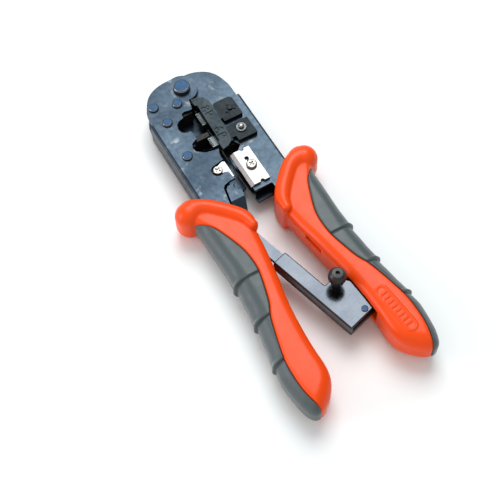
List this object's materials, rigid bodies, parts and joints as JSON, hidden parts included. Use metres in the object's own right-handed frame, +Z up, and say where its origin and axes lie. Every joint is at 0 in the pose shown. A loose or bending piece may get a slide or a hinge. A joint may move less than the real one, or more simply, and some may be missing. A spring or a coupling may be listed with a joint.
{
  "type": "crimping tool",
  "caption": "Ratcheting plier-type crimping tool for modular plugs, with wire cutter and stripper, two-tone guarded grips, and a ratchet link with a release knob between the handles.",
  "frame": {"origin": "on the axis of the head pivot, at the back face of the main rivet, which lies in the plane that the tool rests on", "axes": "+X towards the moving half, +Y past the head, away from the handles, +Z up out of the face with the marker plate"},
  "size_m": [0.0796, 0.1989, 0.0279],
  "materials": {
    "frame_steel": "blued steel, semi-gloss",
    "rivet_steel": "blued, polished crown",
    "die_metal": "black oxide",
    "punch_steel": "ground",
    "carrier_steel": "blued steel, satin",
    "screw_steel": "bright plated",
    "blade_steel": "ground and polished",
    "grip_orange": "fine satin moulded plastic",
    "grip_grey": "soft-touch overmould",
    "link_steel": "zinc plated",
    "link_base": "black",
    "spring_steel": "drawn wire",
    "pawl_steel": "hardened",
    "knob_black": "satin black"
  },
  "bodies": {
    "fixed_side": {"fixed_front_plate": "frame_steel", "fixed_back_plate": "frame_steel", "frame_rivets": "rivet_steel", "main_pivot_rivet": "rivet_steel", "pivot_washers": "rivet_steel", "die_block": "die_metal", "stop_block": "frame_steel", "stripping_blade": "blade_steel", "stripping_blade_screw": "screw_steel", "fixed_grip": "grip_orange", "fixed_overmould": "grip_grey", "link_pin": "rivet_steel"},
    "moving_side": {"moving_front_plate": "frame_steel", "moving_back_plate": "frame_steel", "pivot_bushing": "rivet_steel", "punch_holder": "die_metal", "punch_8": "punch_steel", "punch_6": "punch_steel", "strain_relief_bars": "punch_steel", "carrier_8": "carrier_steel", "carrier_6": "carrier_steel", "marker_plate": "carrier_steel", "carrier_pin": "rivet_steel", "carrier_screw": "screw_steel", "carrier_nut": "screw_steel", "cutter_blade": "blade_steel", "cutter_screw": "screw_steel", "moving_handle_core": "frame_steel", "core_rivets": "rivet_steel", "moving_grip": "grip_orange", "moving_overmould": "grip_grey", "housing_pin": "rivet_steel"},
    "ratchet_housing": {"ratchet_cover": "link_steel", "ratchet_base": "link_base", "housing_bushing": "rivet_steel", "pawl_pin": "rivet_steel", "return_spring": "spring_steel"},
    "ratchet_bar": {"ratchet_bar": "link_steel"},
    "release_lever": {"pawl": "pawl_steel", "knob_stem": "knob_black", "release_knob": "knob_black"}
  },
  "joints": [
    {"name": "jaw_close", "type": "hinge", "parent": "fixed_side", "child": "moving_side", "pos_m": [0, 0, 0.0108], "axis": [0, 0, -1], "range_deg": [0, 4], "stiffness_Nm_per_rad": 0.6, "springref_deg": -2.86},
    {"name": "link_swing", "type": "hinge", "parent": "moving_side", "child": "ratchet_housing", "pos_m": [0.02187, -0.1505, 0.0115], "axis": [0, 0, -1], "range_deg": [0, 5.1]},
    {"name": "bar_slide", "type": "slide", "parent": "ratchet_housing", "child": "ratchet_bar", "axis": [0.2672, -0.9636, 0], "range_m": [0, 0.0037], "deforming": ["return_spring"]},
    {"name": "knob_release", "type": "hinge", "parent": "ratchet_housing", "child": "release_lever", "pos_m": [0.01399, -0.15688, 0.0128], "axis": [0, 0, -1], "range_deg": [0, 4], "stiffness_Nm_per_rad": 0.02, "springref_deg": -5.73}
  ],
  "couplings": [
    {"joint": "link_swing", "follows": "jaw_close", "ratio": 1.2628},
    {"joint": "bar_slide", "follows": "jaw_close", "m_per_rad": 0.05197}
  ]
}
